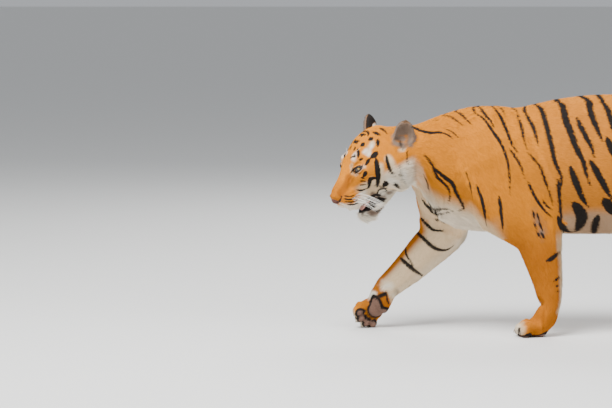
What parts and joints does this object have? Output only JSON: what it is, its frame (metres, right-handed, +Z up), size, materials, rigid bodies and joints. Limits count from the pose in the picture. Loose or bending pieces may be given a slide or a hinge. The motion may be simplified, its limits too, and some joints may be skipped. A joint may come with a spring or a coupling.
{
  "type": "bengal tiger",
  "caption": "Life-size adult tiger walking with its head low, mouth parted and tail hanging, in a striped orange, white and black coat.",
  "frame": {"origin": "on the floor, under the middle of the animal's bounding box", "axes": "-X the way the tiger walks, -Y its left side, +Z up"},
  "size_m": [2.1826, 0.4209, 0.9582],
  "materials": {
    "coat": "short striped fur: orange above, cream and white below, black stripes",
    "eye": "wet amber iris with a round black pupil",
    "tongue": "moist pink flesh"
  },
  "bodies": {
    "root": {"trunk": "coat", "neck": "coat", "head": "coat", "jaw": "coat", "tongue": "tongue", "eye_left": "eye", "eye_right": "eye", "ear_left": "coat", "ear_right": "coat", "tail_base": "coat", "tail_middle": "coat", "tail_tip": "coat", "foreleg_left_upper": "coat", "foreleg_left_lower": "coat", "forepaw_left": "coat", "hindleg_left_upper": "coat", "hindleg_left_lower": "coat", "hindleg_left_foot": "coat", "hindpaw_left": "coat", "foreleg_right_upper": "coat", "foreleg_right_lower": "coat", "forepaw_right": "coat", "hindleg_right_upper": "coat", "hindleg_right_lower": "coat", "hindleg_right_foot": "coat", "hindpaw_right": "coat"}
  },
  "joints": []
}
